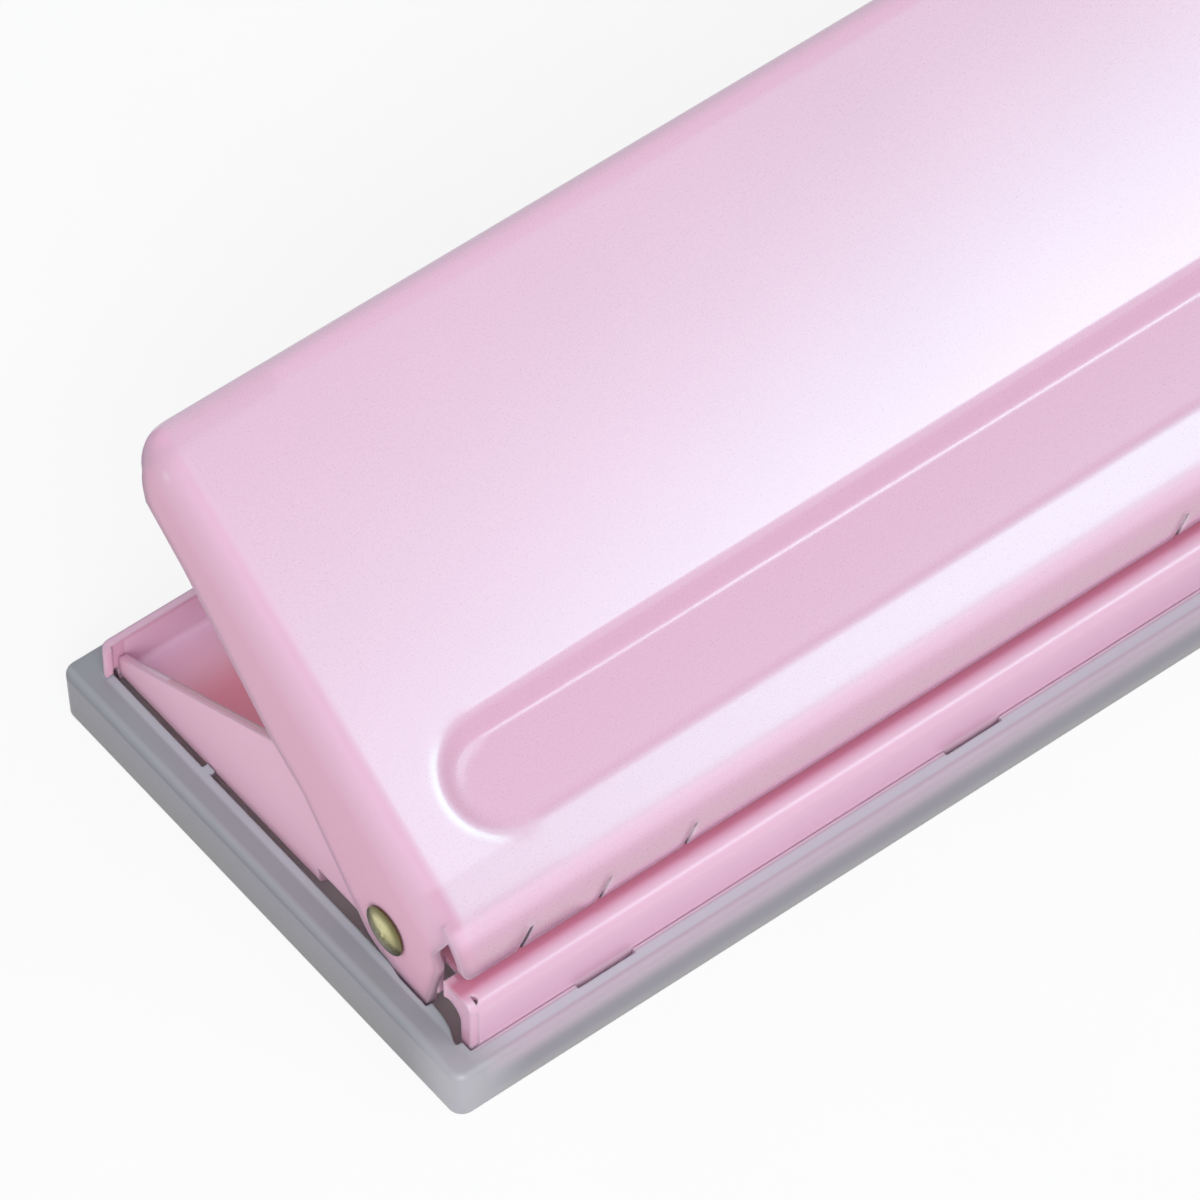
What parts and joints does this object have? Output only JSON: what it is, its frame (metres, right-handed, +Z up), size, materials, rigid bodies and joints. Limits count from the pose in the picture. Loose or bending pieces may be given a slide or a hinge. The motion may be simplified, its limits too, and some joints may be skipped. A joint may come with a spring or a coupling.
{
  "type": "desk hole punch",
  "caption": "Long desk hole punch for ring-binder sheets: a pressed steel lever pivots on a folded steel base and drives a row of sprung punches; a chip tray closes the bottom.",
  "frame": {"origin": "centre of the chip tray's flat underside, on the plane it stands on", "axes": "+X along the length, to the right as seen from the paper side; +Y from the paper side at the front to the back, where the lever is pressed; +Z up"},
  "size_m": [0.3206, 0.1096, 0.0823],
  "materials": {
    "tray_plastic": "smoky translucent, lightly satin",
    "base_paint": "pink satin-gloss paint over steel sheet",
    "lever_paint": "pearl pink satin-gloss paint over steel sheet",
    "pin_brass": "yellow plated, bright",
    "tool_steel": "ground and hardened",
    "guide_steel": "bright plated sheet",
    "rivet_steel": "plain",
    "clip_steel": "blackened",
    "spring_steel": "drawn wire"
  },
  "bodies": {
    "base_body": {"base_frame": "base_paint", "die_plate": "tool_steel", "die_plate_rivets": "rivet_steel", "guide_rail": "guide_steel", "guide_rail_rivets": "rivet_steel", "pivot_pin_left": "pin_brass", "pivot_pin_right": "pin_brass", "pivot_washer_left": "rivet_steel", "pivot_washer_right": "rivet_steel", "pivot_clip_left": "clip_steel", "pivot_clip_right": "clip_steel", "punch_spring_1": "spring_steel", "punch_spring_2": "spring_steel", "punch_spring_3": "spring_steel", "punch_spring_4": "spring_steel", "punch_spring_5": "spring_steel", "punch_spring_6": "spring_steel"},
    "lever_body": {"lever": "lever_paint", "press_bar": "guide_steel"},
    "tray_body": {"chip_tray": "tray_plastic"},
    "punch_body_1": {"punch_pin_1": "tool_steel", "punch_clip_1": "clip_steel"},
    "punch_body_2": {"punch_pin_2": "tool_steel", "punch_clip_2": "clip_steel"},
    "punch_body_3": {"punch_pin_3": "tool_steel", "punch_clip_3": "clip_steel"},
    "punch_body_4": {"punch_pin_4": "tool_steel", "punch_clip_4": "clip_steel"},
    "punch_body_5": {"punch_pin_5": "tool_steel", "punch_clip_5": "clip_steel"},
    "punch_body_6": {"punch_pin_6": "tool_steel", "punch_clip_6": "clip_steel"}
  },
  "joints": [
    {"name": "lever_hinge", "type": "hinge", "parent": "base_body", "child": "lever_body", "pos_m": [0, -0.028, 0.019], "axis": [-1, 0, 0], "range_deg": [0, 28.5]},
    {"name": "tray_slide", "type": "slide", "parent": "base_body", "child": "tray_body", "axis": [0, 0, -1], "range_m": [0, 0.012]},
    {"name": "punch_slide_1", "type": "slide", "parent": "base_body", "child": "punch_body_1", "axis": [0, 0, -1], "range_m": [0, 0.0055], "stiffness_N_per_m": 800, "springref_m": -0.004, "deforming": ["punch_spring_1"]},
    {"name": "punch_slide_2", "type": "slide", "parent": "base_body", "child": "punch_body_2", "axis": [0, 0, -1], "range_m": [0, 0.0055], "stiffness_N_per_m": 800, "springref_m": -0.004, "deforming": ["punch_spring_2"]},
    {"name": "punch_slide_3", "type": "slide", "parent": "base_body", "child": "punch_body_3", "axis": [0, 0, -1], "range_m": [0, 0.0055], "stiffness_N_per_m": 800, "springref_m": -0.004, "deforming": ["punch_spring_3"]},
    {"name": "punch_slide_4", "type": "slide", "parent": "base_body", "child": "punch_body_4", "axis": [0, 0, -1], "range_m": [0, 0.0055], "stiffness_N_per_m": 800, "springref_m": -0.004, "deforming": ["punch_spring_4"]},
    {"name": "punch_slide_5", "type": "slide", "parent": "base_body", "child": "punch_body_5", "axis": [0, 0, -1], "range_m": [0, 0.0055], "stiffness_N_per_m": 800, "springref_m": -0.004, "deforming": ["punch_spring_5"]},
    {"name": "punch_slide_6", "type": "slide", "parent": "base_body", "child": "punch_body_6", "axis": [0, 0, -1], "range_m": [0, 0.0055], "stiffness_N_per_m": 800, "springref_m": -0.004, "deforming": ["punch_spring_6"]}
  ],
  "couplings": [
    {"joint": "punch_slide_1", "follows": "lever_hinge", "m_per_rad": 0.011},
    {"joint": "punch_slide_2", "follows": "lever_hinge", "m_per_rad": 0.011},
    {"joint": "punch_slide_3", "follows": "lever_hinge", "m_per_rad": 0.011},
    {"joint": "punch_slide_4", "follows": "lever_hinge", "m_per_rad": 0.011},
    {"joint": "punch_slide_5", "follows": "lever_hinge", "m_per_rad": 0.011},
    {"joint": "punch_slide_6", "follows": "lever_hinge", "m_per_rad": 0.011}
  ]
}
